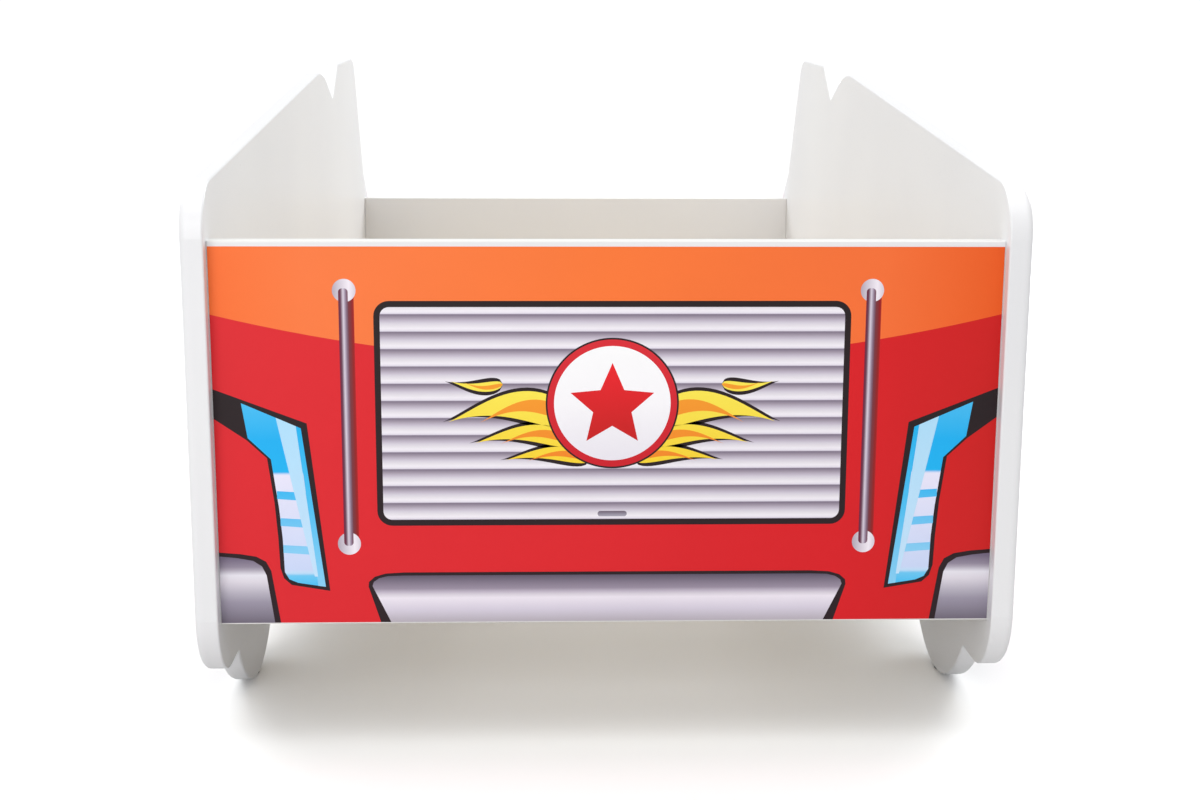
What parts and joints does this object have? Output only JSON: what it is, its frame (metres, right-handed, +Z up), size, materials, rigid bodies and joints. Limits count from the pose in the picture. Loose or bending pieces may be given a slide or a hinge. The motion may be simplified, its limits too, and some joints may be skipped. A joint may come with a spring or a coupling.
{
  "type": "toddler bed frame",
  "caption": "Child's bed frame shaped like a fire engine: two cut-out side panels with wheels, two printed end boards and a slatted base for a small mattress.",
  "frame": {"origin": "on the floor, under the middle of the frame's overall length and width", "axes": "+Z up; +Y along the bed, from the low printed tail board towards the cab and nose; +X across the bed, to the right as seen from the tail board"},
  "size_m": [0.7646, 1.544, 0.6251],
  "materials": {
    "white_board": "foil-wrapped MDF, satin",
    "white_edge_band": "satin",
    "white_plastic": "matte",
    "printed_film": "satin, printed",
    "pine": "planed, bare",
    "beech": "bare",
    "woven_tape": "woven",
    "zinc_steel": "zinc plated",
    "zinc_alloy": "die cast",
    "black_plastic": "moulded, matte"
  },
  "bodies": {
    "root": {"front_bottom_edge_band": "white_edge_band", "front_cam_bolts": "zinc_steel", "front_cam_caps": "white_plastic", "front_cam_housings": "zinc_alloy", "front_dowels": "beech", "front_end_board": "white_board", "front_end_film": "printed_film", "front_left_glide": "black_plastic", "front_right_glide": "black_plastic", "front_top_edge_band": "white_edge_band", "glide_nails": "zinc_steel", "left_rail_screws": "zinc_steel", "left_side_film": "printed_film", "left_side_panel": "white_board", "left_slat_rail": "pine", "left_slat_tape": "woven_tape", "left_tape_staples": "zinc_steel", "rear_bottom_edge_band": "white_edge_band", "rear_cam_bolts": "zinc_steel", "rear_cam_caps": "white_plastic", "rear_cam_housings": "zinc_alloy", "rear_dowels": "beech", "rear_end_board": "white_board", "rear_end_film": "printed_film", "rear_left_glide": "black_plastic", "rear_right_glide": "black_plastic", "rear_top_edge_band": "white_edge_band", "right_rail_screws": "zinc_steel", "right_side_film": "printed_film", "right_side_panel": "white_board", "right_slat_rail": "pine", "right_slat_tape": "woven_tape", "right_tape_staples": "zinc_steel", "slat_01": "pine", "slat_02": "pine", "slat_03": "pine", "slat_04": "pine", "slat_05": "pine", "slat_06": "pine", "slat_07": "pine", "slat_08": "pine", "slat_09": "pine", "slat_10": "pine", "slat_11": "pine", "slat_12": "pine", "slat_13": "pine", "slat_screws": "zinc_steel"}
  },
  "joints": []
}
